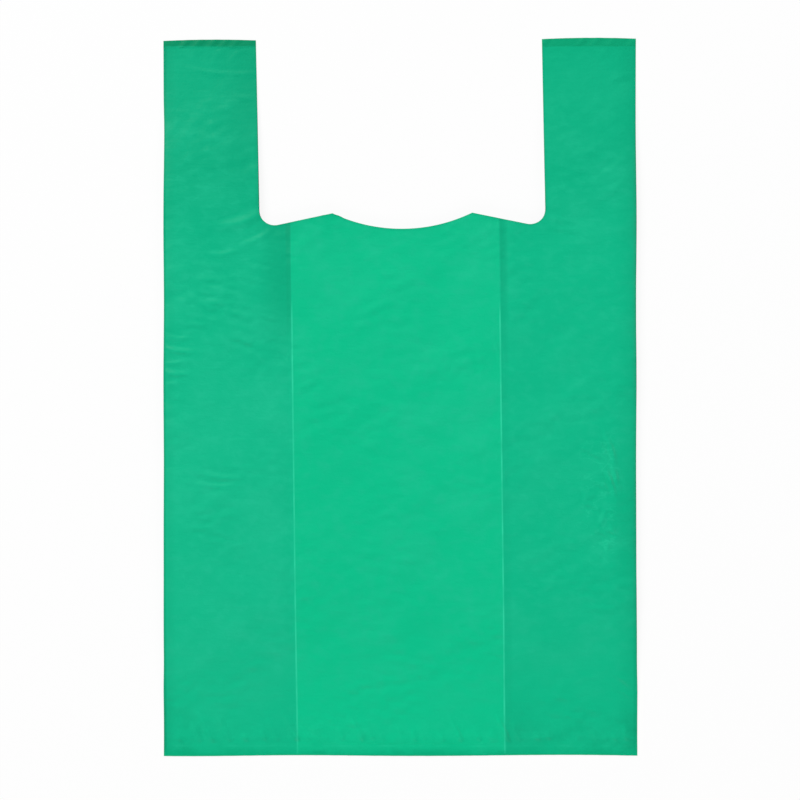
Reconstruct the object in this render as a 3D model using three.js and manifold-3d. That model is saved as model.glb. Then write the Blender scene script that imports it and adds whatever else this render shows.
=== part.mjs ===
// A vest-type carrier bag of green polyethylene film, lying flat as it comes off the pack.
// One blown tube of film, its sides tucked in as gussets, is sealed across both ends. One
// knife cut then opens the mouth and leaves two looped handles. Millimetres, +Z up: the bag
// lies on z = 0 with its bottom edge towards -Y and its handles towards +Y.
import * as THREE from "three";
import { mergeVertices } from "three/addons/utils/BufferGeometryUtils.js";
import Module from "manifold-3d";

// The tube of film
const BAG_WIDTH = 300; // lay-flat width with the gussets tucked in
const BAG_LENGTH = 456; // bottom edge to the tops of the handles
const GUSSET_DEPTH = 84; // side fold to inner fold, the mean of the two sides
const GUSSET_SHIFT = -2; // both inner folds lie this far off centre
const GUSSET_LEAN_DEG = 0.7; // and lean this much off the bag's length
const FILM = 0.05; // film gauge

// Air that the springy film keeps between its plies
const PANEL_AIR = 2.6; // between a panel and the gusset ply next to it
const POCKET_AIR = 0.8; // between the two plies of a gusset
const FOLD_ROUND = 7; // distance from a fold at which its plies lie level
const TIP_ROUND = 5; // the same at the inner fold of a gusset
const BOTTOM_RISE = 100; // distance from the bottom seal to full height
const HANDLE_RISE = 100; // distance from a handle's seal to full height
const MIDDLE_FALL = 45; // distance from a crease to where the front panel lies at its middle level

// The creases that the inner folds press into the front panel
const CREASE_RISE = 0.45;
const CREASE_HALF_WIDTH = 2.5;

// The heat seals
const SEAL_WIDTH = 1.6;
const BOTTOM_SKIRT = 6.2; // bottom edge to the seal
const HANDLE_SKIRT = 3; // top edge to the seal
const SEALED_SHARE = 0.02; // share of the air that the seal leaves in the fused stack

// The knife that cuts the mouth and the handles
const HANDLE_WIDTH = 59;
const HANDLE_LENGTH = 111; // top edge to the peaks of the mouth
const CORNER_RADIUS = 10; // where a handle meets the mouth
const SHOULDER_FALL_DEG = 11.8; // fall of the mouth from a peak to the corner
const PEAK_SPREAD = 88.6; // distance between the two peaks
const DIP_DEPTH = 10; // depth of the round dip between the peaks
const HANDLE_LEAN_DEG = 0.9; // lean of the handles' inner edges towards -X
const KNIFE_SHIFT = 1.5; // the cut lies this far off centre
const KNIFE_TURN_DEG = 0.25; // and is turned this much
const KNIFE_CLEARANCE = 5; // how far the knife reaches past the film all round

// Facets
const FOLD_STEPS = 8;
const RISE_STEPS = 8;
const ARC_SEGMENTS = 7;

const GREEN = 0x17be8b;

const halfWidth = BAG_WIDTH / 2;
const halfLength = BAG_LENGTH / 2;
const bottomSeal = { outer: BOTTOM_SKIRT - halfLength, inner: BOTTOM_SKIRT + SEAL_WIDTH - halfLength };
const handleSeal = { outer: halfLength - HANDLE_SKIRT, inner: halfLength - HANDLE_SKIRT - SEAL_WIDTH };

const wasm = await Module();
wasm.setup();

// A closed geometry as a solid that can be joined and cut.
function solidOf(geometry) {
  const bare = geometry.clone();
  bare.deleteAttribute("normal");
  bare.deleteAttribute("uv");
  const merged = mergeVertices(bare, 1e-4);
  const vertProperties = new Float32Array(merged.attributes.position.array);
  const triVerts = new Uint32Array(merged.index.array);
  return new wasm.Manifold(new wasm.Mesh({ numProp: 3, vertProperties, triVerts }));
}

function geometryOf(solid) {
  const { vertProperties, triVerts } = solid.getMesh();
  const geometry = new THREE.BufferGeometry();
  geometry.setAttribute("position", new THREE.BufferAttribute(vertProperties, 3));
  geometry.setIndex(new THREE.BufferAttribute(triVerts, 1));
  geometry.computeVertexNormals();
  return geometry;
}

// A closed loft along Y. Each station's outline is a list of [x, z], counter-clockwise seen
// along +Y, with as many points as the others.
function loft(stations, outlineAt) {
  const rings = stations.map((y) => outlineAt(y).map(([x, z]) => new THREE.Vector3(x, y, z)));
  const size = rings[0].length;
  const index = [];
  for (let j = 0; j + 1 < rings.length; j++) {
    for (let i = 0; i < size; i++) {
      const near = j * size;
      const next = (i + 1) % size;
      index.push(near + i, near + size + i, near + size + next);
      index.push(near + i, near + size + next, near + next);
    }
  }
  const flat = (ring) => ring.map((p) => new THREE.Vector2(p.x, p.z));
  const last = (rings.length - 1) * size;
  for (const [a, b, c] of THREE.ShapeUtils.triangulateShape(flat(rings[0]), [])) {
    index.push(a, b, c);
  }
  for (const [a, b, c] of THREE.ShapeUtils.triangulateShape(flat(rings.at(-1)), [])) {
    index.push(last + c, last + b, last + a);
  }
  return new THREE.BufferGeometry().setFromPoints(rings.flat()).setIndex(index);
}

// How full of air the bag is at a station. The plies leave the seals level and part slowly.
function fullness(y) {
  const fromBottom = THREE.MathUtils.smoothstep(y - bottomSeal.inner, 0, BOTTOM_RISE);
  const fromHandles = THREE.MathUtils.smoothstep(handleSeal.inner - y, 0, HANDLE_RISE);
  return THREE.MathUtils.lerp(SEALED_SHARE, 1, fromBottom * fromHandles);
}

// Heights of the film's outer faces at a station: back panel, the two gusset plies, the front
// panel over the gussets and the front panel between them.
function levels(y) {
  const air = fullness(y);
  const back = 0;
  const gussetBack = back + 2 * FILM + PANEL_AIR * air;
  const gussetFront = gussetBack + POCKET_AIR * air;
  const front = gussetFront + 2 * FILM + PANEL_AIR * air;
  const middle = back + 2 * FILM + 2 * PANEL_AIR * air;
  const crease = front + CREASE_RISE * air;
  return { back, gussetBack, gussetFront, front, middle, crease };
}

// Where a gusset's inner fold lies across the bag; side is -1 on the left and 1 on the right.
function innerFold(side, y) {
  const lean = -y * Math.tan(THREE.MathUtils.degToRad(GUSSET_LEAN_DEG));
  return side * (halfWidth - GUSSET_DEPTH) + GUSSET_SHIFT + lean;
}

// Half an ellipse from one ply to the next round a fold. It bulges to +x where reach is positive.
function foldRound(x, reach, from, to) {
  const middle = (from + to) / 2;
  const points = [];
  for (let i = 0; i <= FOLD_STEPS; i++) {
    const angle = (Math.PI * i) / FOLD_STEPS;
    points.push([x + reach * Math.sin(angle), middle + (from - middle) * Math.cos(angle)]);
  }
  return points;
}

// One side of the folded section, from the back panel up to the front panel. An inset of FILM
// gives the inside of the film and an inset of 0 its outside.
function sideOutline(side, y, inset) {
  const z = levels(y);
  const edge = side * (halfWidth - FOLD_ROUND);
  const tip = innerFold(side, y) + side * (FILM + TIP_ROUND);
  const crease = innerFold(side, y);
  return [
    ...foldRound(edge, side * (FOLD_ROUND - inset), z.back + inset, z.gussetBack - inset),
    ...foldRound(tip, -side * (TIP_ROUND + inset), z.gussetBack - inset, z.gussetFront + inset),
    ...foldRound(edge, side * (FOLD_ROUND - inset), z.gussetFront + inset, z.front - inset),
    [crease + side * CREASE_HALF_WIDTH, z.front - inset],
    [crease, z.crease - inset],
    [crease - side * CREASE_HALF_WIDTH, z.front - inset],
    [crease - side * MIDDLE_FALL, z.middle - inset],
  ];
}

function section(y, inset) {
  return [...sideOutline(1, y, inset), ...sideOutline(-1, y, inset).reverse()];
}

// Stations along the bag, close together where the plies part and none where they run level.
function tubeStations() {
  const along = [bottomSeal.outer, bottomSeal.inner];
  for (let i = 1; i <= RISE_STEPS; i++) {
    along.push(bottomSeal.inner + (BOTTOM_RISE * i) / RISE_STEPS);
  }
  for (let i = RISE_STEPS; i > 0; i--) {
    along.push(handleSeal.inner - (HANDLE_RISE * i) / RISE_STEPS);
  }
  along.push(handleSeal.inner, handleSeal.outer);
  return along;
}

function filmTube() {
  const stations = tubeStations();
  const outside = solidOf(loft(stations, (y) => section(y, 0)));
  const inside = solidOf(loft(stations, (y) => section(y, FILM)));
  return outside.subtract(inside);
}

// The fused plies of a seal, from the cut edge of the film to the inner side of the seal.
function sealBar(edge, inner) {
  const height = levels(inner).crease;
  const bar = new THREE.BoxGeometry(BAG_WIDTH, Math.abs(edge - inner), height);
  return solidOf(bar.translate(0, (edge + inner) / 2, height / 2));
}

// The knife's outline, with its origin on the bag's middle line at the level of the peaks.
function knifeShape() {
  const half = halfWidth - HANDLE_WIDTH;
  const top = HANDLE_LENGTH + KNIFE_CLEARANCE;
  const peak = PEAK_SPREAD / 2;
  const fall = THREE.MathUtils.degToRad(SHOULDER_FALL_DEG);
  const cornerX = half - CORNER_RADIUS;
  const cornerY = (CORNER_RADIUS - (cornerX - peak) * Math.sin(fall)) / Math.cos(fall);
  const dipRadius = (peak * peak + DIP_DEPTH * DIP_DEPTH) / (2 * DIP_DEPTH);
  const dipY = dipRadius - DIP_DEPTH;
  const dipAngle = Math.asin(peak / dipRadius);
  const down = -Math.PI / 2;
  const lean = THREE.MathUtils.degToRad(HANDLE_LEAN_DEG);
  const flankX = CORNER_RADIUS * Math.cos(lean);
  const flankY = CORNER_RADIUS * Math.sin(lean);
  const drift = (top - cornerY) * Math.tan(lean);

  const shape = new THREE.Shape();
  shape.moveTo(-cornerX - CORNER_RADIUS / Math.cos(lean) - drift, top);
  shape.lineTo(-cornerX - flankX, cornerY - flankY);
  shape.absarc(-cornerX, cornerY, CORNER_RADIUS, Math.PI + lean, 2 * Math.PI + down + fall, false);
  shape.absarc(0, dipY, dipRadius, down - dipAngle, down + dipAngle, false);
  shape.absarc(cornerX, cornerY, CORNER_RADIUS, down - fall, lean, false);
  shape.lineTo(cornerX + CORNER_RADIUS / Math.cos(lean) - drift, top);
  shape.closePath();
  return shape;
}

function knife() {
  const depth = levels(0).crease + 2 * KNIFE_CLEARANCE;
  const blade = new THREE.ExtrudeGeometry(knifeShape(), {
    depth,
    bevelEnabled: false,
    curveSegments: ARC_SEGMENTS,
  });
  blade.rotateZ(THREE.MathUtils.degToRad(KNIFE_TURN_DEG));
  blade.translate(KNIFE_SHIFT, halfLength - HANDLE_LENGTH, -KNIFE_CLEARANCE);
  return solidOf(blade);
}

function carrierBag() {
  const film = filmTube()
    .add(sealBar(-halfLength, bottomSeal.inner))
    .add(sealBar(halfLength, handleSeal.inner))
    .subtract(knife());
  const finish = new THREE.MeshStandardMaterial({ color: GREEN, roughness: 0.45, metalness: 0 });
  const mesh = new THREE.Mesh(geometryOf(film), finish);
  mesh.name = "carrier_bag";
  return mesh;
}

const bag = new THREE.Group();
bag.add(carrierBag());

export default bag;
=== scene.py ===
import math

import bpy
import numpy as np
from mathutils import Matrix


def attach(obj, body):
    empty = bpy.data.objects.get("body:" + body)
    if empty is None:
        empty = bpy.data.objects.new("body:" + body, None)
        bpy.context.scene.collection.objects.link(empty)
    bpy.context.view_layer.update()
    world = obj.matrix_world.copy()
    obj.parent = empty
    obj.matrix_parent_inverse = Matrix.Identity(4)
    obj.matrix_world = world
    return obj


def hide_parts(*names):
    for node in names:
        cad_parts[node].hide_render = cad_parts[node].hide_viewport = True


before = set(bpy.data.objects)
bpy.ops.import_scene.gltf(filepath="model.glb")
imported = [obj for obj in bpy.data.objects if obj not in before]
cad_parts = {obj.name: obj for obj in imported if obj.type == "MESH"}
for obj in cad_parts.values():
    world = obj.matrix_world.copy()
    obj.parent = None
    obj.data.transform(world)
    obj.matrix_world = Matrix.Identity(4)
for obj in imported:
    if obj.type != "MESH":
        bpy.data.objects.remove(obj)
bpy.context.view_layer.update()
scene = bpy.context.scene
scene.view_settings.view_transform = "Standard"
mm = 0.001
print("frame loaded")


def easeIn(low, high, value):
    t = np.clip((value - low) / (high - low), 0.0, 1.0)
    return t * t * (3.0 - 2.0 * t)


def hump(value, middle, halfBreadth):
    return np.exp(-((value - middle) / halfBreadth) ** 2)


def meshFrom(name, points, faces):
    mesh = bpy.data.meshes.new(name)
    mesh.from_pydata(points.tolist(), [], faces)
    mesh.update()
    piece = bpy.data.objects.new(name, mesh)
    scene.collection.objects.link(piece)
    return piece


def applyStep(piece, kind, settings):
    step = piece.modifiers.new(kind.lower(), kind)
    for name, value in settings.items():
        setattr(step, name, value)
    shown = piece.evaluated_get(bpy.context.evaluated_depsgraph_get())
    made = bpy.data.meshes.new_from_object(shown)
    piece.modifiers.clear()
    piece.data = made


def joinOrCut(piece, tool, operation):
    applyStep(piece, "BOOLEAN", {"operation": operation, "solver": "MANIFOLD", "object": tool})
    bpy.data.objects.remove(tool)


# the tube of film, in millimetres: how it is folded, how its plies part, and how fine its mesh is
film = {
    "width": 300, "length": 456, "gauge": 0.05,
    "gussetDepth": 84, "gussetShift": -2, "gussetLean": 0.7,
    "panelAir": 2.6, "pocketAir": 0.8, "foldRound": 7, "tipRound": 5,
    "bottomRise": 100, "handleRise": 100, "middleFall": 45,
    "sealWidth": 1.6, "bottomSkirt": 6.2, "handleSkirt": 3, "sealedShare": 0.02,
    "panelStep": 1.05, "creaseStep": 0.42, "creaseColumns": 15, "creaseRound": 2,
    "foldSteps": 12, "tipSteps": 6, "crowding": 0.12, "gussetColumns": 3, "backColumns": 8,
    "kept": 0.255, "cutBand": 2.5, "foldBand": 0.5, "sharpAngle": 50,
}
halfWidth = film["width"] / 2
halfLength = film["length"] / 2
gauge = film["gauge"]
flatEdge = halfWidth - film["foldRound"]
bottomSeal = (film["bottomSkirt"] - halfLength, film["bottomSkirt"] + film["sealWidth"] - halfLength)
handleSeal = (halfLength - film["handleSkirt"], halfLength - film["handleSkirt"] - film["sealWidth"])
lean = math.tan(math.radians(film["gussetLean"]))


def fullness(y):
    fromBottom = easeIn(0, film["bottomRise"], y - bottomSeal[1])
    fromHandles = easeIn(0, film["handleRise"], handleSeal[1] - y)
    return film["sealedShare"] + (1 - film["sealedShare"]) * (fromBottom * fromHandles)


def innerFold(side, y):
    return side * (halfWidth - film["gussetDepth"]) + film["gussetShift"] - y * lean


def levels(y):
    air = fullness(y)
    gussetBack = 2 * gauge + film["panelAir"] * air
    gussetFront = gussetBack + film["pocketAir"] * air
    front = gussetFront + 2 * gauge + film["panelAir"] * air
    middle = 2 * gauge + 2 * film["panelAir"] * air
    return gussetBack, gussetFront, front, middle


# half an ellipse from one ply to the next, its points close together at the tip
def foldRound(x, reach, low, high, steps):
    t = np.linspace(-1, 1, steps + 1)
    angle = (t - film["crowding"] * np.sin(np.pi * t)) * np.pi / 2
    return np.stack([x + reach * np.cos(angle), (low + high) / 2 + (high - low) / 2 * np.sin(angle)], 1)


def along(start, end, count):
    t = np.linspace(0, 1, count + 2)[1:-1, None]
    return np.asarray(start) * (1 - t) + np.asarray(end) * t


# columns of the front panel from right to left, close together at the two creases
def frontColumns():
    crease = halfWidth - film["gussetDepth"]
    reach = film["creaseColumns"] * film["creaseStep"]
    fine = np.linspace(-reach, reach, 2 * film["creaseColumns"] + 1)
    coarse = np.arange(-flatEdge + film["panelStep"], flatEdge, film["panelStep"])
    away = np.minimum(abs(coarse - crease), abs(coarse + crease)) > reach + film["panelStep"] / 2
    return np.sort(np.concatenate([coarse[away], crease + fine, -crease + fine]))[::-1]


frontAcross = frontColumns()
# share of the gussets' lean that each column takes
frontFollow = np.minimum(1.0, (halfWidth - abs(frontAcross)) / film["gussetDepth"])


def sideRuns(side, y):
    gussetBack, gussetFront, front, _ = levels(y)
    edge = side * flatEdge
    tip = innerFold(side, y) + side * (gauge + film["tipRound"])
    reach = side * film["foldRound"]
    backFold = foldRound(edge, reach, 0.0, gussetBack, film["foldSteps"])
    innerTip = foldRound(tip, -side * film["tipRound"], gussetBack, gussetFront, film["tipSteps"])
    frontFold = foldRound(edge, reach, gussetFront, front, film["foldSteps"])
    inward = along(backFold[-1], innerTip[0], film["gussetColumns"])
    outward = along(innerTip[-1], frontFold[0], film["gussetColumns"])
    return np.vstack([backFold, inward, innerTip, outward, frontFold])


def ring(y):
    _, _, front, middle = levels(y)
    x = frontAcross + frontFollow * (film["gussetShift"] - y * lean)
    inside = np.minimum(x - innerFold(-1, y), innerFold(1, y) - x)
    z = front + (middle - front) * easeIn(-film["creaseRound"], film["middleFall"], inside)
    right = sideRuns(1, y)
    left = sideRuns(-1, y)[::-1]
    back = along([-flatEdge, 0], [flatEdge, 0], film["backColumns"])
    return np.vstack([right, np.stack([x, z], 1), left, back])


# how much of the front panel's relief each column of a ring takes
def reliefShares():
    side = 2 * (film["foldSteps"] + 1) + 2 * film["gussetColumns"] + film["tipSteps"] + 1
    shares = np.zeros(side)
    fold = film["foldSteps"] + 1
    shares[-fold:] = easeIn(0, 1, np.linspace(0, 1, fold))
    return np.concatenate([shares, np.ones(len(frontAcross)), shares[::-1], np.zeros(film["backColumns"])])


def stations():
    body = np.arange(bottomSeal[1], handleSeal[1], film["panelStep"])
    return np.concatenate([[bottomSeal[0]], body, [handleSeal[1], handleSeal[0]]])


# random plane waves between two wavelengths across and along the bag, of height 1 on average
def waves(x, y, across, lengthwise, seed, count):
    pick = np.random.default_rng(seed)
    total = np.zeros_like(x)
    for _ in range(count):
        kx = 2 * np.pi / pick.uniform(*across) * pick.choice([-1, 1])
        ky = 2 * np.pi / pick.uniform(*lengthwise)
        total += np.cos(kx * x + ky * y + pick.uniform(0, 2 * np.pi))
    return total * math.sqrt(2.0 / count)


# the same along one line
def wavesOf(x, lengths, seed, count):
    return waves(x, 0 * x, lengths, (1e6, 1e7), seed, count)


# shape of a pulled line, in shares of its length, its half breadth and its height
stroke = {"bow": 0.06, "reach": 3, "hollow": 0.55, "hollowPlace": 1.9, "blunt": 0.06, "cutOff": 4}


# a pulled line in the film from one point to another: a ridge with a shallow hollow beside it
def pulledLine(x, y, line):
    x0, y0, x1, y1, halfBreadth, height = line
    length = math.hypot(x1 - x0, y1 - y0)
    ux, uy = (x1 - x0) / length, (y1 - y0) / length
    t = np.clip(((x - x0) * ux + (y - y0) * uy) / length, 0, 1)
    bow = stroke["bow"] * length * np.sin(np.pi * t)
    d = ((y - y0) * ux - (x - x0) * uy - bow) / halfBreadth
    past = np.hypot(x - x0 - t * length * ux, y - y0 - t * length * uy) / (stroke["reach"] * halfBreadth)
    ridge = np.exp(-d * d) - stroke["hollow"] * np.exp(-(d + stroke["hollowPlace"]) ** 2)
    tapered = np.sin(np.pi * (stroke["blunt"] + (1 - 2 * stroke["blunt"]) * t))
    return height * ridge * tapered * np.exp(-np.clip(past - 1, 0, None) ** 2 * stroke["cutOff"])


# heights in millimetres; a pair is from where to where, or a middle and half a breadth;
# a pulled line is x, y of both its ends, half its breadth and its height
relief = {
    "billow": 0.14, "cloud": 0.11, "ripple": 0.036, "mottle": 0.042, "patchy": (-0.4, 1.4),
    "ladder": 0.055, "ladderAcross": (-4, 26), "crinkle": 0.075, "crinkleBreadth": 0.16,
    "topCalm": (222, 150), "lowLively": (-120, -200), "deepest": 0.55,
    "creaseRidge": 0.1, "ridgeBreadth": 0.5, "edgeLine": 0.06, "edgeLineAcross": (-144.6, 0.7),
    "creaseHollow": 0.3, "hollowAcross": (-3.4, 2.4), "hollowAlong": (0, 90),
    "handleSag": 0.7, "handleSagAcross": (-118, -90), "handleSagAlong": (112, 135),
    "cornerSag": 0.9, "cornerPlace": (-79, 116), "cornerReach": 16,
    "rightSag": 0.65, "rightSagAcross": (134, 143), "rightSagAlong": (-66, 56),
    "drag": 0.09, "dragSlope": 0.24, "dragAlong": (62, 30),
    "dragBegins": (-146, -128), "dragEnds": (-66, -82),
    "puckers": 0.32, "puckerHeight": 8, "puckerSpread": 5, "puckerSlant": 0.5, "puckerStart": 3,
    "hemPuckers": 0.3, "hemSlant": 0.8, "hemAlong": (5, 3.5), "sealFade": 4,
    "pulled": [
        # left handle's root
        (-80, 107, -104, 95.5, 1.7, 0.42), (-87, 117, -117, 108, 2.8, 0.7),
        (-100, 94, -124, 90.5, 1.5, 0.34), (-104, 76.5, -130, 76, 1.5, 0.3),
        (-110, 70, -126, 70, 1.3, 0.24), (-130, 65, -95, 63, 1.6, 0.22), (-143, 62, -112, 53, 1.6, 0.3),
        (-122, 62, -100, 50, 1.5, 0.22), (-138, 46, -104, 42, 1.6, 0.26), (-114, 39, -86, 30, 1.5, 0.32),
        (-96, 56, -74, 44, 1.6, 0.2), (-75, 28.6, -69.5, 24.6, 0.7, 0.5), (-73.5, 27, -70, 22, 0.7, 0.26),
        # left side
        (-133, 37.5, -150, 40, 1.0, 0.42), (-130, 29, -150, 32, 1.5, 0.7),
        (-137, 23, -149, 22, 1.0, 0.45), (-134, 15, -150, 16.5, 1.5, 0.6), (-140, 9.5, -149, 8, 1.2, 0.3),
        (-136, -2, -149, 3, 1.5, 0.3), (-98, -51, -132, -46, 1.6, 0.44),
        (-105, -56, -132, -53.5, 1.2, 0.42), (-92, -43, -113, -43, 1.2, 0.18),
        (-114, -80, -132, -83, 1.6, 0.36), (-105, -92, -122, -90, 1.5, 0.24),
        (-94, -26, -109, -27, 1.2, 0.16),
        # left handle
        (-130, 185, -118, 178, 1.6, 0.24), (-93, 207, -137, 211, 1.3, 0.34),
        (-93, 190, -106, 193, 1.5, 0.3), (-134, 160, -112, 166, 2.2, 0.18),
        (-112, 138, -96, 133, 2.0, 0.2),
        # right handle and its root
        (145, 157, 122, 136, 1.8, 0.2), (147, 143, 128, 128, 1.7, 0.18), (112, 111, 93, 115.5, 1.5, 0.3),
        (94, 107, 118, 103, 1.6, 0.26), (92, 222, 108, 219, 1.2, 0.2), (118, 222.4, 149, 221.6, 1.0, 0.2),
        (132, 200, 149, 205, 2.0, 0.3),
        # right side
        (128.5, -17, 131.5, -26, 1.2, 0.18), (130, -25, 136.4, -42, 1.2, 0.9),
        (133, -41, 138, -56, 1.0, 0.85), (129.5, -46, 136.4, -62.5, 1.2, 1.0),
        (124, -53, 133, -62, 1.1, 0.5), (123, -36.5, 129.5, -39.5, 1.1, 0.18),
        (122, -67, 128, -75, 1.2, 0.3), (130, -70, 126, -82, 1.2, 0.4), (124, -84, 134, -90, 1.1, 0.34),
        (131, -77, 136, -88, 1.0, 0.34), (149, -91, 143, -88, 0.9, 0.34), (118, -64, 124, -62, 1.4, 0.24),
        (113, -31, 121, -35, 1.2, 0.3), (119, -34.5, 128, -39, 1.2, 0.34),
        (116, -67, 123, -70, 1.3, 0.34), (131, -71.5, 136.5, -73, 0.9, 0.4),
        (131, -84, 137, -87, 0.9, 0.5), (130.5, -90, 132, -98, 1.1, 0.44),
        (121, -81, 124, -87, 1.1, 0.34), (116.5, -58, 118, -70, 1.2, 0.28),
        (136, -176, 149, -187, 1.3, 0.42), (139, -186, 149, -194, 1.2, 0.36),
        (70, -196, 73, -219, 2.0, 0.3), (104, -200, 114, -212, 2.2, 0.22),
        (118, -196, 128, -206, 2.4, 0.2),
        # middle
        (-16, 55, 0, 43, 1.8, 0.18), (45, 42, 54, 30, 1.6, 0.2), (45, -34, 50, -46, 1.6, 0.2),
        (48, 32, 53, 14, 1.3, 0.2), (-55, 68, -42, 58, 2.0, 0.18), (-48, 76, -36, 62, 1.8, 0.18),
        (-64, -204, -48, -221, 1.3, 0.2), (-50, -200, -36, -216, 1.4, 0.18),
        (-30, -206, -22, -218, 1.4, 0.16), (60, 36, 63, 22, 1.0, 0.2), (64, 34, 67, 24, 0.9, 0.22),
    ],
}

# the film's random waves: wavelengths across and along the bag, seed and number
grain = {
    "patches": ((60, 160), (60, 160), 31, 48), "ripple": ((18, 70), (5, 14), 23, 48),
    "mottle": ((8, 30), (7, 22), 37, 96), "ladder": ((24, 70), (6, 12), 29, 48),
    "veins": ((16, 50), (12, 34), 5, 48), "otherVeins": ((16, 50), (12, 34), 6, 48),
    "drag": ((40, 140), (4.2, 8.5), 71, 48), "billow": ((70, 190), (70, 190), 11, 80),
    "cloud": ((24, 90), (20, 60), 17, 80),
    # along one line
    "puckerHeights": ((14, 50), 9, 12), "puckers": ((5.5, 13), 3, 24), "hemPuckers": ((9, 24), 8, 16),
    "sideEdges": ((60, 180), 41, 12), "bottomEdge": ((110, 260), 1125, 10),
    "hems": ((6, 14), 61, 20), "skirt": ((5, 18), 63, 20),
}


def frontRelief(x, y):
    patch = easeIn(*relief["patchy"], waves(x, y, *grain["patches"]))
    fine = relief["ripple"] * (0.3 + patch) * waves(x, y, *grain["ripple"])
    fine += relief["mottle"] * (0.5 + patch) * waves(x, y, *grain["mottle"])
    fine += relief["ladder"] * hump(x, *relief["ladderAcross"]) * waves(x, y, *grain["ladder"])
    for name in ("veins", "otherVeins"):
        veins = waves(x, y, *grain[name])
        fine += relief["crinkle"] * patch * np.exp(-(veins / relief["crinkleBreadth"]) ** 2)
    # fine lines that slope across the left side under the handle
    dragged = easeIn(*relief["dragBegins"], x) * easeIn(*relief["dragEnds"], x)
    dragged *= hump(y, *relief["dragAlong"])
    fine += relief["drag"] * dragged * waves(x, y + relief["dragSlope"] * x, *grain["drag"])
    height = relief["billow"] * waves(x, y, *grain["billow"])
    height += relief["cloud"] * waves(x, y, *grain["cloud"])
    for side in (-1, 1):
        s = (innerFold(side, y) - x) * side  # towards the middle of the bag
        height += relief["creaseRidge"] * hump(s, 0, relief["ridgeBreadth"])
        deep = 0.3 + 0.7 * easeIn(*relief["hollowAlong"], y)
        height -= relief["creaseHollow"] * hump(s, *relief["hollowAcross"]) * deep
    height += relief["edgeLine"] * hump(x, *relief["edgeLineAcross"])
    onHandle = easeIn(*relief["handleSagAcross"], x) * easeIn(*relief["handleSagAlong"], y) * (x < 0)
    height -= relief["handleSag"] * onHandle
    fromCorner = np.hypot(x - relief["cornerPlace"][0], y - relief["cornerPlace"][1])
    height -= relief["cornerSag"] * hump(fromCorner, 0, relief["cornerReach"])
    height -= relief["rightSag"] * easeIn(*relief["rightSagAcross"], x) * hump(y, *relief["rightSagAlong"])
    height *= fullness(y)
    height += fine * (0.5 + 0.5 * easeIn(*relief["topCalm"], y) + 0.2 * easeIn(*relief["lowLively"], y))
    height += sum(pulledLine(x, y, line) for line in relief["pulled"])
    # puckers that rise from the two seals
    above = y - bottomSeal[1]
    tall = relief["puckerHeight"] + relief["puckerSpread"] * wavesOf(x, *grain["puckerHeights"]).clip(-1, 1.5)
    spiky = wavesOf(x + relief["puckerSlant"] * above, *grain["puckers"]).clip(-0.4, 2.2) + 0.4
    height += relief["puckers"] * spiky * np.exp(-((above - relief["puckerStart"]) / tall) ** 2)
    below = handleSeal[1] - y
    spiky = wavesOf(x + relief["hemSlant"] * below, *grain["hemPuckers"]).clip(0, 2)
    height += relief["hemPuckers"] * relief["puckers"] * spiky * hump(below, *relief["hemAlong"])
    height *= easeIn(0, relief["sealFade"], above) * easeIn(0, relief["sealFade"], below)
    lowest = -relief["deepest"] * film["panelAir"] * fullness(y)  # the plies below hold the panel up
    return np.maximum(height, lowest)


# the outside of the tube, thinned out where it is level, then given the film's gauge inwards
def filmTube():
    rows = stations()
    rings = np.stack([ring(y) for y in rows])
    size = rings.shape[1]
    y = np.repeat(rows[:, None], size, 1)
    z = rings[:, :, 1] + reliefShares() * frontRelief(rings[:, :, 0], y)
    points = np.stack([rings[:, :, 0], y, z], 2).reshape(-1, 3)
    faces = []
    for i in range(size):
        k = (i + 1) % size
        for j in range(0, (len(rows) - 1) * size, size):
            faces.append((j + i, j + size + i, j + size + k, j + k))
    tube = meshFrom("bagFilm", points * mm, faces)
    atCut = fromCut(points[:, 0], points[:, 1]) < film["cutBand"]
    atFold = abs(points[:, 0]) > halfWidth - film["foldBand"]
    edges = tube.vertex_groups.new(name="edges")  # these stay as fine as they are
    edges.add(np.flatnonzero(atCut | atFold).tolist(), 1.0, "REPLACE")
    thinning = {"ratio": film["kept"], "vertex_group": "edges", "invert_vertex_group": True}
    applyStep(tube, "DECIMATE", thinning)
    applyStep(tube, "SOLIDIFY", {"thickness": gauge * mm, "offset": -1})
    return tube


seal = {"proud": 0.012, "pointsAcross": 241, "pointsAlong": 7}


# the fused plies of a seal as a thin bar, with points close enough together to ripple
def sealBar(edge, inner):
    height = levels(inner)[2] + seal["proud"]
    xs = np.linspace(-halfWidth, halfWidth, seal["pointsAcross"])
    ys = np.linspace(min(edge, inner), max(edge, inner), seal["pointsAlong"])
    grid = np.stack(np.meshgrid(xs, ys, indexing="ij"), 2).reshape(-1, 2)
    points = np.concatenate([np.c_[grid, np.zeros(len(grid))], np.c_[grid, np.full(len(grid), height)]])
    n, m, top = len(xs), len(ys), len(grid)
    faces = []
    for i in range(n - 1):
        for j in range(m - 1):
            a, b, c, d = i * m + j, (i + 1) * m + j, (i + 1) * m + j + 1, i * m + j + 1
            faces.append((d, c, b, a))
            faces.append((top + a, top + b, top + c, top + d))
    rim = [i * m for i in range(n)] + [(n - 1) * m + j for j in range(1, m)]
    rim += [i * m + m - 1 for i in range(n - 2, -1, -1)] + [j for j in range(m - 2, 0, -1)]
    for a, b in zip(rim, rim[1:] + rim[:1]):
        faces.append((a, b, top + b, top + a))
    return meshFrom("sealBar", points * mm, faces)


# the knife that cuts the mouth and the handles
knifeCut = {
    "handleWidth": 59, "handleLength": 111, "cornerRadius": 10, "shoulderFall": 11.8, "peakSpread": 88.6,
    "dipDepth": 10, "handleLean": 0.9, "shift": 1.5, "turn": 0.25, "clearance": 6,
    "top": 8.0, "cornerPoints": 20, "dipPoints": 48,
}


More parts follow.
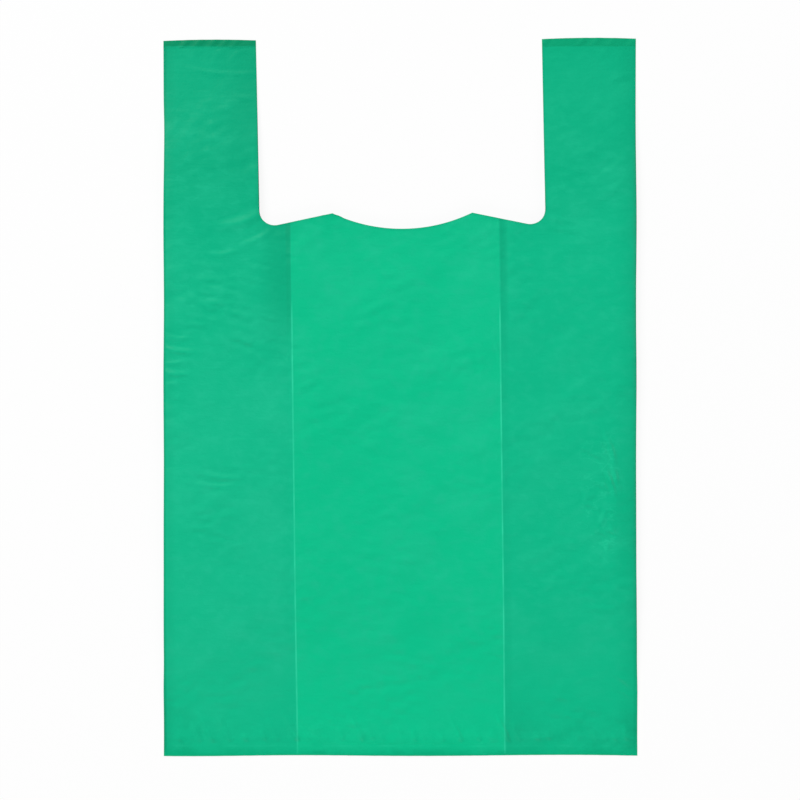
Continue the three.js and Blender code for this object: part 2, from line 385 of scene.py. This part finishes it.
def knifeOutline():
    radius = knifeCut["cornerRadius"]
    peak = knifeCut["peakSpread"] / 2
    dip = knifeCut["dipDepth"]
    fall = math.radians(knifeCut["shoulderFall"])
    tilt = math.radians(knifeCut["handleLean"])
    cx = halfWidth - knifeCut["handleWidth"] - radius
    cy = (radius - (cx - peak) * math.sin(fall)) / math.cos(fall)
    dipRadius = (peak ** 2 + dip ** 2) / (2 * dip)
    spread = math.asin(peak / dipRadius)
    down = -math.pi / 2

    def arc(x, y, r, start, end, steps):
        return [(x + r * math.cos(a), y + r * math.sin(a)) for a in np.linspace(start, end, steps)]

    top = knifeCut["handleLength"] + knifeCut["clearance"]
    flank = cx + radius / math.cos(tilt)
    drift = (top - cy) * math.tan(tilt)
    outline = [(-flank - drift, top)]
    outline += arc(-cx, cy, radius, math.pi + tilt, 2 * math.pi + down + fall, knifeCut["cornerPoints"])
    outline += arc(0, dipRadius - dip, dipRadius, down - spread, down + spread, knifeCut["dipPoints"])
    outline += arc(cx, cy, radius, down - fall, tilt, knifeCut["cornerPoints"])
    outline.append((flank - drift, top))
    turn = math.radians(knifeCut["turn"])
    x, y = np.array(outline).T
    across = x * math.cos(turn) - y * math.sin(turn) + knifeCut["shift"]
    lengthwise = x * math.sin(turn) + y * math.cos(turn) + halfLength - knifeCut["handleLength"]
    return np.stack([across, lengthwise], 1)


# distance from the knife's outline
def fromCut(x, y):
    outline = knifeOutline()
    nearest = np.full(x.shape, halfLength)
    for (x0, y0), (x1, y1) in zip(outline, np.roll(outline, -1, 0)):
        dx, dy = x1 - x0, y1 - y0
        t = np.clip(((x - x0) * dx + (y - y0) * dy) / (dx * dx + dy * dy), 0, 1)
        nearest = np.minimum(nearest, np.hypot(x - x0 - t * dx, y - y0 - t * dy))
    return nearest


def knife():
    outline = knifeOutline()
    n = len(outline)
    reach = knifeCut["clearance"]
    low = np.c_[outline, np.full(n, -reach)]
    high = np.c_[outline, np.full(n, knifeCut["top"] + reach)]
    points = np.concatenate([low, high])
    faces = [tuple(range(n - 1, -1, -1)), tuple(range(n, 2 * n))]
    faces += [(i, (i + 1) % n, n + (i + 1) % n, n + i) for i in range(n)]
    return meshFrom("knife", points * mm, faces)


# how the cut bag settles: edges that wander a little, hems that lift, a back panel that peeps out
settle = {
    "edgeWander": 0.09, "bottomWander": 0.3, "bottomAlong": (-190, -226),
    "rightFlare": 0.8, "rightFlareAlong": (-80, -225),
    "endFlare": 0.45, "lowFlare": (-165, -190), "topFlare": (165, 195),
    "topBow": 0.7, "topTilt": 0.0049, "topAlong": (150, 226), "handleMiddle": 120, "handleHalf": 30,
    "hemLift": 0.1, "hemSlant": 0.9, "hemAlong": (218, 226),
    "skirtLift": 0.09, "skirtSlant": 0.6, "skirtAlong": (-218, -226),
    "backPeep": 0.7, "peepAlong": (95, 115), "peeps": [(-51, 6), (-38.5, 3)], "backBelow": 1.0,
    "sideShare": 5, "cutEdgeShade": 0.9,
}


def settleFilm(piece):
    mesh = piece.data
    flat = np.empty(len(mesh.vertices) * 3)
    mesh.vertices.foreach_get("co", flat)
    p = flat.reshape(-1, 3) / mm
    x, y, z = p[:, 0].copy(), p[:, 1].copy(), p[:, 2].copy()
    # painted shade along the cut edges, read by the film's material
    rim = mesh.attributes.new("cutEdgeShade", "FLOAT", "POINT")
    rim.data.foreach_set("value", hump(fromCut(x, y), 0, settle["cutEdgeShade"]))
    outer = np.clip(abs(x) / halfWidth, 0, 1) ** settle["sideShare"]
    p[:, 0] += np.sign(x) * outer * settle["edgeWander"] * wavesOf(y, *grain["sideEdges"])
    p[:, 0] += settle["rightFlare"] * outer * easeIn(*settle["rightFlareAlong"], y) * (x > 0)
    flared = easeIn(*settle["lowFlare"], y) + easeIn(*settle["topFlare"], y) * (x < 0)
    p[:, 0] += np.sign(x) * outer * settle["endFlare"] * flared
    wander = settle["bottomWander"] * wavesOf(x, *grain["bottomEdge"])
    p[:, 1] += easeIn(*settle["bottomAlong"], y) * wander
    across = (abs(x) - settle["handleMiddle"]) / settle["handleHalf"]
    bowed = settle["topBow"] * (0.5 - across ** 2) + settle["topTilt"] * x
    p[:, 1] += easeIn(*settle["topAlong"], y) * bowed
    slanted = wavesOf(x - settle["hemSlant"] * y, *grain["hems"]).clip(-1, 2)
    p[:, 2] += easeIn(*settle["hemAlong"], y) * settle["hemLift"] * (1 + slanted)
    slanted = wavesOf(x + settle["skirtSlant"] * y, *grain["skirt"]).clip(-1, 2)
    p[:, 2] += easeIn(*settle["skirtAlong"], y) * settle["skirtLift"] * (1 + slanted)
    peep = sum(hump(x, *place) for place in settle["peeps"]) * (z < settle["backBelow"])
    p[:, 1] += settle["backPeep"] * easeIn(*settle["peepAlong"], y) * peep
    mesh.vertices.foreach_set("co", (p * mm).ravel())
    mesh.update()


def carrierBag():
    bag = filmTube()
    print("film tube folded:", len(bag.data.polygons), "faces")
    joinOrCut(bag, sealBar(-halfLength, bottomSeal[1]), "UNION")
    joinOrCut(bag, sealBar(halfLength, handleSeal[1]), "UNION")
    print("ends sealed:", len(bag.data.polygons), "faces")
    joinOrCut(bag, knife(), "DIFFERENCE")
    settleFilm(bag)
    bag.data.shade_smooth()
    bag.data.set_sharp_from_angle(angle=math.radians(film["sharpAngle"]))
    print("mouth and handles cut:", sum(len(f.vertices) - 2 for f in bag.data.polygons), "triangles")
    return bag


# a shader socket as a value, so that shader maths reads as plain expressions
class Wire:
    def __init__(self, tree, made=None, output=0):
        self.tree = tree
        self.made = made
        self.socket = made.outputs[output] if made else None

    def node(self, kind, settings, sockets, output=0):
        made = self.tree.nodes.new(kind)
        for name, value in settings.items():
            setattr(made, name, value)
        for name, value in sockets.items():
            if isinstance(value, Wire):
                self.tree.links.new(value.socket, made.inputs[name])
            else:
                made.inputs[name].default_value = value
        return Wire(self.tree, made, output)

    def pick(self, output):
        return Wire(self.tree, self.made, output)

    def into(self, socket):
        self.tree.links.new(self.socket, socket)

    def maths(self, operation, *values):
        return self.node("ShaderNodeMath", {"operation": operation}, dict(enumerate(values)))

    def __add__(self, other):
        return self.maths("ADD", self, other)

    def __radd__(self, other):
        return self.maths("ADD", other, self)

    def __sub__(self, other):
        return self.maths("SUBTRACT", self, other)

    def __rsub__(self, other):
        return self.maths("SUBTRACT", other, self)

    def __mul__(self, other):
        return self.maths("MULTIPLY", self, other)

    def __rmul__(self, other):
        return self.maths("MULTIPLY", other, self)

    def __abs__(self):
        return self.maths("ABSOLUTE", self)

    # 0 at the first value, 1 at the second, smooth between them
    def rise(self, low, high):
        return self.node("ShaderNodeMapRange", {"interpolation_type": "SMOOTHSTEP"},
                         {"Value": self, "From Min": low, "From Max": high})

    # comes in over the first span and goes over the second
    def within(self, comes, goes):
        return self.rise(*comes) * self.rise(*goes)

    def blend(self, first, second):
        return self.node("ShaderNodeMix", {"data_type": "RGBA"}, {0: self, 6: first, 7: second}, 2)

    def stretched(self, across, lengthwise, detail):
        place = self.node("ShaderNodeVectorMath", {"operation": "MULTIPLY"},
                          {0: self, 1: (1000 / across, 1000 / lengthwise, 1000 / across)})
        return self.node("ShaderNodeTexNoise", {"noise_dimensions": "3D"},
                         {"Vector": place, "Scale": 1.0, "Detail": detail, "Roughness": 0.55})


# the film's greens, deeper where more plies lie under the front panel, lighter at the low end as painted
# light, with painted sheen, painted highlights and painted shade, and its finish
greenFilm = {
    "middle": (0.0028, 0.507, 0.248, 1), "gusset": (0.0034, 0.464, 0.238, 1),
    "handle": (0.0022, 0.395, 0.201, 1), "lower": (0.0010, 0.600, 0.290, 1),
    "milkySheen": (0.0150, 0.505, 0.280, 1), "paintedHighlight": (0.0260, 0.620, 0.345, 1),
    # painted shade: the darker greens beside the creases and at the folds, corners and cut edges
    "creaseShade": (0.0026, 0.385, 0.196, 1), "fold": (0.0020, 0.310, 0.155, 1),
    "skirt": (0.0006, 0.400, 0.190, 1),
    "leftHem": (0.0018, 0.270, 0.122, 1), "rightHem": (0.0024, 0.350, 0.166, 1),
    "roughness": 0.32, "roughnessSpread": 0.16, "specular": 0.09, "bumpDepth": 0.00026,
}

# noises: grain across and along the bag in millimetres, and detail
noises = {
    "haze": (34, 26, 5.0), "streaks": (13, 2.4, 3.0), "blotches": (7, 5, 4.0), "net": (13, 8, 3.0),
    "gleamBreakup": (40, 16, 2.0), "dusk": (20, 13, 4.0), "tooth": (1.5, 1.3, 2.0),
}

# noise levels at which a mark begins and is full
noiseSpans = {
    "milkyHaze": (0.40, 0.75), "milkyBlotches": (0.42, 0.72),
    "netLine": (0.035, 0.0), "netHaze": (0.42, 0.68),
    "gleamBreakup": (0.35, 0.65), "dusk": (0.42, 0.68), "sealHighlight": (0.35, 0.7),
}

# where a mark begins and is full, in millimetres across or along the bag or from a crease
spans = {
    "ply": (-0.9, 0.5), "handles": (80, 160), "toLeft": (60, -60), "lowerEnd": (-110, -190),
    "leftDeep": (0, -3), "leftDeepAlong": (0, 90),
    "milkyLow": (-222, -140), "milkyHigh": (215, 130), "paintedSheenLeft": (2, -10), "paintedSheenLeftAlong": (90, -20),
    "squeezedAcross": ((108, 122), (143, 133)), "squeezedAlong": ((-15, -35), (-118, -92)),
    "netLow": (-190, -216),
    "leftBand": ((-24, -9), (0.2, -1.0)), "leftBandAlong": (5, 85),
    "leftLine": ((-4.2, -2.4), (0.2, -0.8)), "leftLineAlong": (30, 60), "leftLineTop": (85, 115),
    "rightBand": ((-6.5, -3.5), (0, -1.2)), "rightBandAlong": (10, 95),
    "lowRight": ((0, -2), (-30, -8)), "lowRightAlong": (-180, -212),
    "innerAcross": ((-126, -90), (-70, -88)), "innerAlong": (112, 190),
    "cornerSquared": (520, 90), "tipAcross": (134, 148), "tipAlong": (192, 214),
    "ridgeGleamAlong": (64, 48), "foldLine": (0.75, 0.1),
    "leftFold": (-147.8, -149.8), "leftSide": (-141, -148),
    "rightFold": (147.4, 150.2), "rightSide": (134, 148), "rightDusk": ((-5, -65), (-125, -85)),
    "lowCorners": (-185, -226), "lowToLeft": (-118, -150), "lowToRight": (70, 150),
    "skirt": (bottomSeal[0], -228), "skirtSoft": (-213, -227), "skirtEdgeShade": (-226.4, -227.9),
    "sealHighlight": (0.9, 0.2), "toRight": (-60, 60),
    "hem": (handleSeal[1] - 0.6, handleSeal[0] - 0.8), "shadeUnderHem": (212, handleSeal[1]),
}
cornerPlace = (-79, 119)  # where the left handle meets the mouth

# how strongly a mark shows
shares = {
    "handles": 0.7, "leftHandle": 0.05, "leftDeep": 0.1, "leftDeepTop": 0.22,
    "lowerEnd": 0.12, "lowerMiddle": 0.12,
    "milkyHaze": 0.3, "milkyBlotches": 0.28, "paintedSheenLeft": 0.2, "milkyEnds": 0.3,
    "net": 0.04, "netSqueezed": 0.2, "netLow": 0.06,
    "leftBand": 0.72, "leftLine": 0.3, "leftLineTop": 0.35, "rightBand": 0.6, "rightBandLow": 0.25,
    "corner": 0.4, "tip": 0.35, "lowRight": 0.35, "ridgeGleam": 0.5, "inner": 0.42, "rim": 0.42,
    "leftFold": 0.7, "leftSide": 0.22, "rightFold": 0.3, "rightSide": 0.18, "rightDusk": 0.14,
    "lowCorners": 0.2, "lowPlain": 0.12, "lowDusk": 0.42,
    "skirt": 0.55, "skirtSoft": 0.3, "skirtEdgeShade": 0.8, "sealHighlight": 0.16,
    "hem": 0.62, "hemBlotches": 0.6, "shadeUnderHem": 0.07,
    "bumpStreaks": 0.5, "bumpBlotches": 0.75, "bumpNet": 0.25, "bumpTooth": 0.2,
}


def filmFinish():
    finish = bpy.data.materials.new("greenFilm")
    finish.use_nodes = True
    tree = finish.node_tree
    shader = tree.nodes["Principled BSDF"]
    wire = Wire(tree)
    place = wire.node("ShaderNodeTexCoord", {}, {}, "Object")
    parts = wire.node("ShaderNodeSeparateXYZ", {}, {0: place})
    x = parts.pick(0) * 1000
    y = parts.pick(1) * 1000
    slant = y * lean
    left = x + slant - innerFold(-1, 0)  # distance inwards of the left crease
    right = innerFold(1, 0) - slant - x
    haze = place.stretched(*noises["haze"])
    streaks = place.stretched(*noises["streaks"])
    blotches = place.stretched(*noises["blotches"])
    dusky = place.stretched(*noises["dusk"]).rise(*noiseSpans["dusk"])
    creased = abs(place.stretched(*noises["net"]) - 0.5).rise(*noiseSpans["netLine"])  # a net of thin lines
    # plies under the front panel
    between = left.rise(*spans["ply"]) * right.rise(*spans["ply"])
    colour = between.blend(greenFilm["gusset"], greenFilm["middle"])
    handleDeep = shares["handles"] + shares["leftHandle"] * x.rise(*spans["toLeft"])
    leftDeep = shares["leftDeep"] + shares["leftDeepTop"] * y.rise(*spans["leftDeepAlong"])
    deeper = y.rise(*spans["handles"]) * handleDeep + leftDeep * left.rise(*spans["leftDeep"])
    colour = deeper.blend(colour, greenFilm["handle"])
    # painted light: the low end is lightened where the film slopes away from the key lamp
    lower = y.rise(*spans["lowerEnd"]) * (shares["lowerEnd"] + shares["lowerMiddle"] * between)
    colour = lower.blend(colour, greenFilm["lower"])
    # milky haze of the film at random, with painted sheen on the left side, and painted highlights along the
    # net of thin crinkle lines in it
    inBody = y.within(spans["milkyLow"], spans["milkyHigh"])
    hazeAndSheen = haze.rise(*noiseSpans["milkyHaze"]) * shares["milkyHaze"]
    hazeAndSheen = hazeAndSheen + blotches.rise(*noiseSpans["milkyBlotches"]) * shares["milkyBlotches"]
    hazeAndSheen = hazeAndSheen + left.rise(*spans["paintedSheenLeft"]) * y.rise(*spans["paintedSheenLeftAlong"]) * shares["paintedSheenLeft"]
    hazeAndSheen = hazeAndSheen * (shares["milkyEnds"] + (1 - shares["milkyEnds"]) * inBody)
    colour = hazeAndSheen.blend(colour, greenFilm["milkySheen"])
    squeezed = x.within(*spans["squeezedAcross"]) * y.within(*spans["squeezedAlong"])  # right side
    netted = haze.rise(*noiseSpans["netHaze"]) * shares["net"] + squeezed * shares["netSqueezed"]
    netted = netted + y.rise(*spans["netLow"]) * shares["netLow"]
    colour = (creased * netted).blend(colour, greenFilm["paintedHighlight"])
    # painted shade in bands outside the creases, at the left handle's corner, at the right handle's outer
    # corner and low beside the right crease, and painted highlights along the crease lines
    leftBand = left.within(*spans["leftBand"]) * y.rise(*spans["leftBandAlong"])
    rightBand = right.within(*spans["rightBand"])
    rightDeep = shares["rightBandLow"] + (1 - shares["rightBandLow"]) * y.rise(*spans["rightBandAlong"])
    acrossCorner = x - cornerPlace[0]
    belowCorner = y - cornerPlace[1]
    corner = (acrossCorner * acrossCorner + belowCorner * belowCorner).rise(*spans["cornerSquared"])
    tip = x.rise(*spans["tipAcross"]) * y.rise(*spans["tipAlong"])  # right handle's outer corner
    lowRight = right.within(*spans["lowRight"]) * y.rise(*spans["lowRightAlong"])
    shade = leftBand * shares["leftBand"] + rightBand * rightDeep * shares["rightBand"]
    shade = shade + corner * shares["corner"] + tip * shares["tip"] + lowRight * shares["lowRight"]
    colour = shade.blend(colour, greenFilm["creaseShade"])
    gleamBreakup = place.stretched(*noises["gleamBreakup"]).rise(*noiseSpans["gleamBreakup"])
    ridgeGleam = y.rise(*spans["ridgeGleamAlong"]) * (1 - shares["ridgeGleam"] + gleamBreakup * shares["ridgeGleam"])
    line = abs(left).rise(*spans["foldLine"]) + abs(right).rise(*spans["foldLine"])
    colour = (line * ridgeGleam).blend(colour, greenFilm["paintedHighlight"])
    # painted shade at the side folds, low corners, the line along the left crease, the left handle's inner
    # side and the cut edges
    leftFold = x.rise(*spans["leftFold"]) * shares["leftFold"]
    leftFold = leftFold + x.rise(*spans["leftSide"]) * shares["leftSide"]
    rightDusk = shares["rightSide"] + shares["rightDusk"] * y.within(*spans["rightDusk"])
    rightFold = x.rise(*spans["rightFold"]) * shares["rightFold"] + x.rise(*spans["rightSide"]) * rightDusk
    outwards = shares["lowCorners"] + x.rise(*spans["lowToLeft"]) + x.rise(*spans["lowToRight"])
    corners = y.rise(*spans["lowCorners"]) * outwards * (shares["lowPlain"] + shares["lowDusk"] * dusky)
    lineDeep = y.rise(*spans["leftLineAlong"]) * shares["leftLine"]
    lineDeep = lineDeep + y.rise(*spans["leftLineTop"]) * shares["leftLineTop"]
    leftLine = left.within(*spans["leftLine"]) * lineDeep
    inner = x.within(*spans["innerAcross"]) * y.rise(*spans["innerAlong"])
    rim = wire.node("ShaderNodeAttribute", {"attribute_name": "cutEdgeShade"}, {}, "Fac")
    paintedShade = leftFold + rightFold + corners + leftLine + inner * shares["inner"] + rim * shares["rim"]
    colour = paintedShade.blend(colour, greenFilm["fold"])
    # the skirt under the bottom seal, deeper green where the plies are sealed together and darker with
    # painted shade towards its cut edge, and a painted highlight along the seal
    skirt = y.rise(*spans["skirt"]) * shares["skirt"] + y.rise(*spans["skirtSoft"]) * shares["skirtSoft"]
    skirt = skirt + y.rise(*spans["skirtEdgeShade"]) * shares["skirtEdgeShade"]
    colour = (skirt * (0.5 + 0.5 * blotches + 0.5 * dusky)).blend(colour, greenFilm["skirt"])
    sealHighlight = abs(y - bottomSeal[0]).rise(*spans["sealHighlight"]) * blotches.rise(*noiseSpans["sealHighlight"])
    colour = (sealHighlight * shares["sealHighlight"]).blend(colour, greenFilm["paintedHighlight"])
    # hems of the handles, and painted shade just under them
    hemColour = x.rise(*spans["toRight"]).blend(greenFilm["leftHem"], greenFilm["rightHem"])
    hem = y.rise(*spans["hem"]) * (shares["hem"] + shares["hemBlotches"] * blotches)
    hem = hem + y.rise(*spans["shadeUnderHem"]) * shares["shadeUnderHem"]
    colour = hem.blend(colour, hemColour)
    colour.into(shader.inputs["Base Color"])
    rough = haze * greenFilm["roughnessSpread"] + greenFilm["roughness"]
    rough.into(shader.inputs["Roughness"])
    height = streaks * shares["bumpStreaks"] + blotches * shares["bumpBlotches"]
    height = height + creased * netted * shares["bumpNet"]
    height = height + place.stretched(*noises["tooth"]) * shares["bumpTooth"]
    relieved = {"Height": height, "Strength": 1.0, "Distance": greenFilm["bumpDepth"]}
    wire.node("ShaderNodeBump", {}, relieved).into(shader.inputs["Normal"])
    shader.inputs["Specular IOR Level"].default_value = greenFilm["specular"]
    shader.inputs["Metallic"].default_value = 0.0
    return finish


bag = carrierBag()
bag.data.materials.clear()
bag.data.materials.append(filmFinish())
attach(bag, "root")
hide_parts("carrier_bag")
print("bag finished")


# floor, light and a camera that looks straight down
studio = {
    "floorSize": 6.0, "floorLevel": -0.0002, "floorWhite": 0.86, "cameraWhite": 0.9, "world": 0.19,
    "softboxes": [  # place in metres, size, strength in watts
        ((-2.3, 3.05, 3.1), 2.2, 231.0),
        ((3.4, 0.6, 2.7), 2.0, 34.0),
        ((-0.4, -3.6, 2.7), 2.0, 62.0),
    ],
    "lens": 100, "sensor": 36, "viewWidth": 0.5087, "sharpHeight": 0.002, "aim": (0.0, -0.00165),
}


def floorFinish():
    finish = bpy.data.materials.new("paleFloor")
    finish.use_nodes = True
    tree = finish.node_tree
    tree.nodes.clear()
    wire = Wire(tree)
    white = (studio["floorWhite"],) * 3 + (1,)
    matt = wire.node("ShaderNodeBsdfDiffuse", {}, {"Color": white})
    glow = wire.node("ShaderNodeEmission", {}, {"Color": (1, 1, 1, 1), "Strength": 1.0})
    rays = wire.node("ShaderNodeLightPath", {}, {})
    seen = rays.pick("Is Camera Ray") + rays.pick("Is Glossy Ray") + rays.pick("Is Transmission Ray")
    mixed = wire.node("ShaderNodeMixShader", {}, {0: seen * studio["cameraWhite"], 1: matt, 2: glow})
    out = tree.nodes.new("ShaderNodeOutputMaterial")
    mixed.into(out.inputs["Surface"])
    return finish


def paleFloor():
    s = studio["floorSize"] / 2
    low = studio["floorLevel"]
    corners = np.array([(-s, -s, low), (s, -s, low), (s, s, low), (-s, s, low)])
    floor = meshFrom("paleFloor", corners, [(0, 1, 2, 3)])
    floor.data.materials.append(floorFinish())


def softLight():
    world = bpy.data.worlds.new("studio")
    world.use_nodes = True
    scene.world = world
    tree = world.node_tree
    rays = Wire(tree).node("ShaderNodeLightPath", {}, {}, "Is Camera Ray")
    background = tree.nodes["Background"]
    background.inputs["Color"].default_value = (1, 1, 1, 1)
    strength = rays * (1 - studio["world"]) + studio["world"]
    strength.into(background.inputs["Strength"])
    for i, (place, size, watts) in enumerate(studio["softboxes"]):
        lamp = bpy.data.lights.new(f"softbox{i}", "AREA")
        lamp.size = size
        lamp.energy = watts
        box = bpy.data.objects.new(f"softbox{i}", lamp)
        box.location = place
        scene.collection.objects.link(box)
        aim = -box.location
        box.rotation_euler = aim.to_track_quat("-Z", "Y").to_euler()


def topCamera():
    data = bpy.data.cameras.new("camera")
    data.lens = studio["lens"]
    data.sensor_width = studio["sensor"]
    camera = bpy.data.objects.new("camera", data)
    height = studio["viewWidth"] * studio["lens"] / studio["sensor"]
    camera.location = (studio["aim"][0], studio["aim"][1], height + studio["sharpHeight"])
    scene.collection.objects.link(camera)
    scene.camera = camera


paleFloor()
softLight()
topCamera()
print("studio set")
